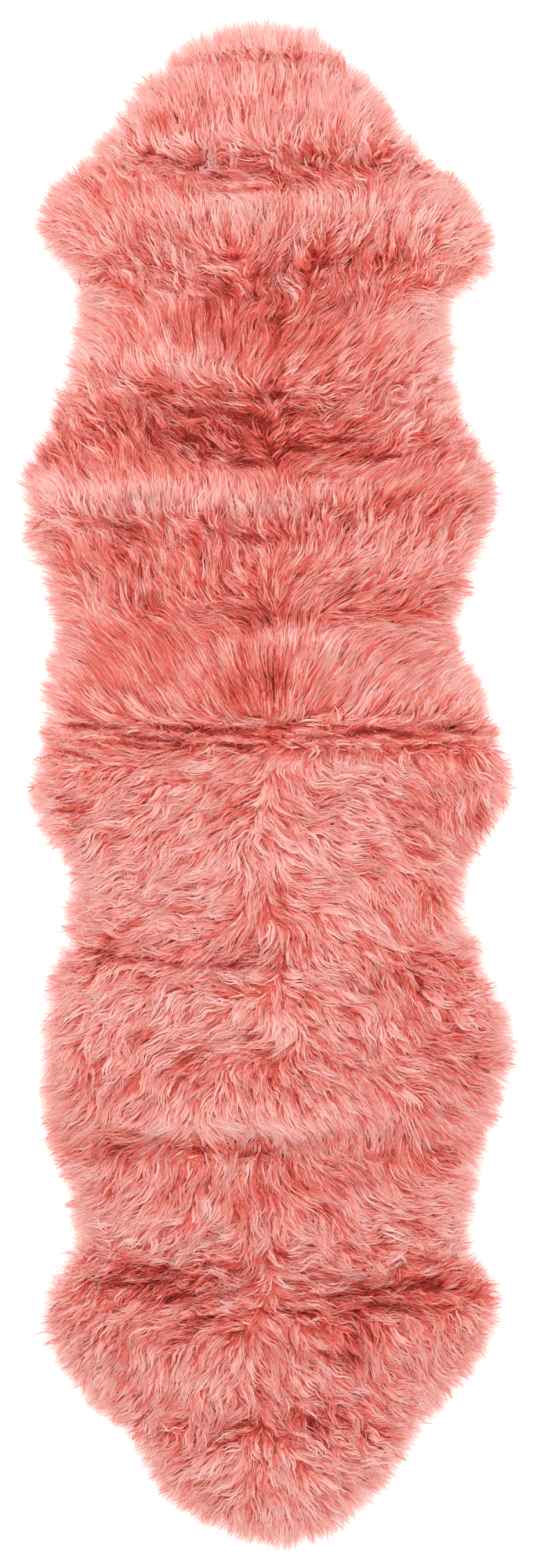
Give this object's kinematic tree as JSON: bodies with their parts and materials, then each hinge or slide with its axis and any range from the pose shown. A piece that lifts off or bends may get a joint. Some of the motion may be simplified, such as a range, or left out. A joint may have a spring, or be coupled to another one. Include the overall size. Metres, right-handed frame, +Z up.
{
  "type": "lambskin rug",
  "caption": "Long flat floor rug of dyed long-wool lambskins sewn end to end, with a shaggy lobed outline, for a soft warm surface underfoot.",
  "frame": {"origin": "on the floor, under the middle of the rug", "axes": "+Z up, away from the floor; +Y along the spines towards the upper pelt's neck; +X to the right, seen from above"},
  "size_m": [0.5982, 1.806, 0.0568],
  "materials": {
    "wool": "soft glossy dyed long wool, paler at the tips",
    "hide": "matt sueded flesh side of the tanned skin",
    "thread": "matt waxed sewing thread"
  },
  "bodies": {
    "root": {"pelt_upper": "wool", "pelt_lower": "wool"}
  },
  "joints": []
}
